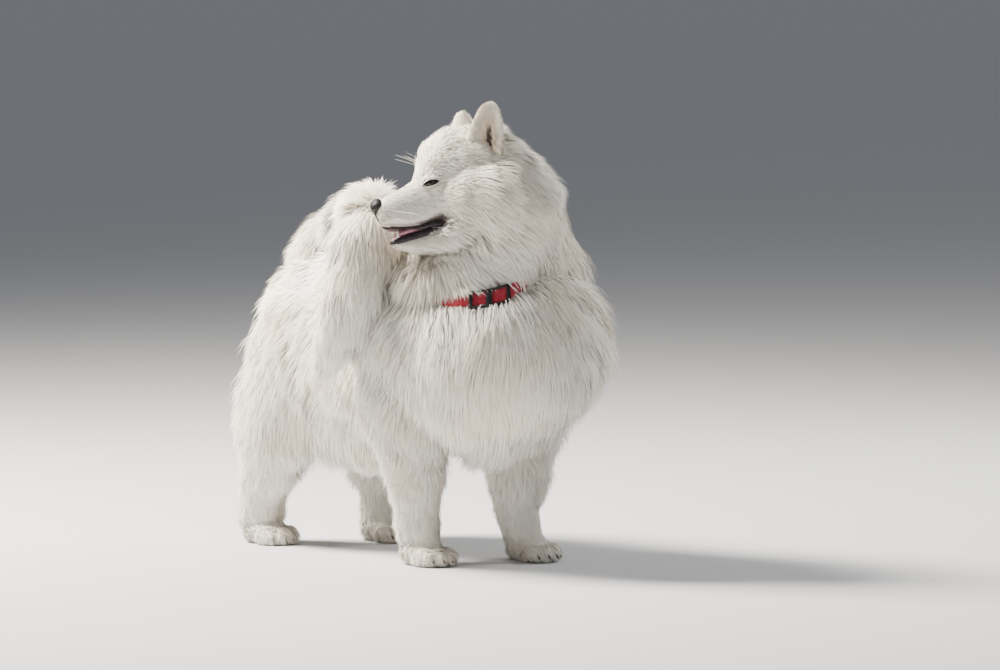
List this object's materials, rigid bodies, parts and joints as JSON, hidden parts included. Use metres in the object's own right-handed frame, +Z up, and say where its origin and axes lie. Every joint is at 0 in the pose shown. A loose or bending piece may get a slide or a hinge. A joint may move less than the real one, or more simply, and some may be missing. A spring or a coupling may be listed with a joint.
{
  "type": "samoyed dog model",
  "caption": "Life-size standing samoyed with a thick coat, head turned to its right, mouth slightly open, tail curled over the back, and a webbing collar.",
  "frame": {"origin": "middle of the whole dog's box, on the floor that the feet stand on", "axes": "+Z up, the body heads along -Y, the dog's left side is +X"},
  "size_m": [0.5077, 0.7931, 0.7855],
  "materials": {
    "coat": "long, soft white coat with a cream tint",
    "ear_coat": "short dense fur, faintly cream",
    "eye": "wet, very dark brown",
    "black_skin": "black, moist skin of nose and lips",
    "tongue": "moist pink",
    "collar_webbing": "woven red webbing",
    "collar_plastic": "black moulded plastic"
  },
  "bodies": {
    "root": {"head": "coat", "lower_jaw": "coat", "neck": "coat", "torso": "coat", "tail": "coat", "foreleg_left": "coat", "foreleg_left_paw": "coat", "foreleg_right": "coat", "foreleg_right_paw": "coat", "hindleg_left": "coat", "hindleg_left_paw": "coat", "hindleg_right": "coat", "hindleg_right_paw": "coat", "ear_left": "ear_coat", "ear_right": "ear_coat", "eye_left": "eye", "eye_right": "eye", "nose": "black_skin", "lip_upper": "black_skin", "lip_lower": "black_skin", "tongue": "tongue", "collar_strap": "collar_webbing", "collar_buckle": "collar_plastic"}
  },
  "joints": []
}
